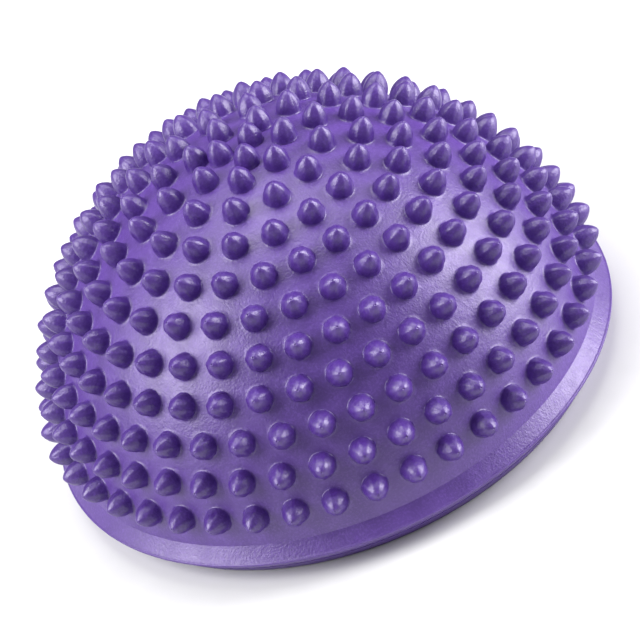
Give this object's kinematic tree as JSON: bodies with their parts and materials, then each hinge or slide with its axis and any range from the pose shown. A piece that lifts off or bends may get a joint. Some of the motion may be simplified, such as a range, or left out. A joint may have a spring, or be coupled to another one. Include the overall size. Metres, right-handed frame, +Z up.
{
  "type": "balance dome trainer",
  "caption": "Hollow soft PVC half dome with rings of blunt massage spikes, a bevelled rim, a flat bonded base disc and a push-in air valve.",
  "frame": {"origin": "on the floor under the middle of the dome", "axes": "+Z up along the dome's axis, +X and +Y in the floor plane"},
  "size_m": [0.1624, 0.1624, 0.0887],
  "materials": {
    "dome_pvc": "satin soft PVC, faintly pearly",
    "base_pvc": "satin soft PVC",
    "valve_pvc": "soft matt PVC",
    "plug_plastic": "translucent white moulded plastic"
  },
  "bodies": {
    "root": {"dome_shell": "dome_pvc", "base_disc": "base_pvc", "valve_collar": "valve_pvc"},
    "plug": {"valve_plug": "plug_plastic"}
  },
  "joints": [
    {"name": "plug_pull", "type": "slide", "parent": "root", "child": "plug", "axis": [0, 0, -1], "range_m": [0, 0.014]}
  ]
}
